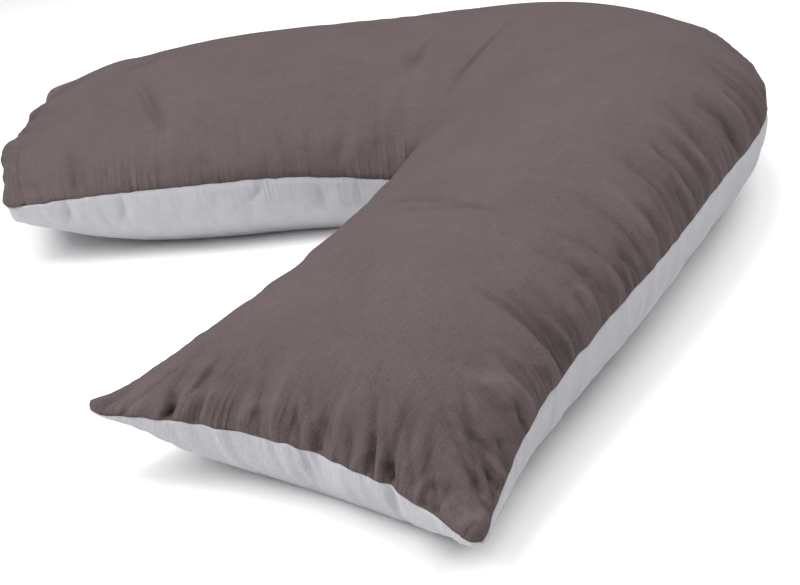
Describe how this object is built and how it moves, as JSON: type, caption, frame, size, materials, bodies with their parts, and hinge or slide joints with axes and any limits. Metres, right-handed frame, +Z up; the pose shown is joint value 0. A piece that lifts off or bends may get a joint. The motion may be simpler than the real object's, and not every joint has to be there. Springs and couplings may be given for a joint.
{
  "type": "v-shaped pillow",
  "caption": "V-shaped filled cotton pillow, taupe on top and pale grey underneath, that supports the back, neck or arms of a person sitting or lying down.",
  "frame": {"origin": "on the surface the pillow lies on, below the middle of its box", "axes": "+X from the far arm's end to the near arm's end, across the V's open side; +Y from the open side to the apex; +Z up, the pillow lying flat with its taupe cloth on top"},
  "size_m": [0.982, 0.7474, 0.1815],
  "materials": {
    "taupe_cotton": "plain woven cotton, matte, slightly slubby",
    "pale_grey_cotton": "plain woven cotton, matte"
  },
  "bodies": {
    "root": {"top_panel": "taupe_cotton", "underside_panel": "pale_grey_cotton"}
  },
  "joints": []
}
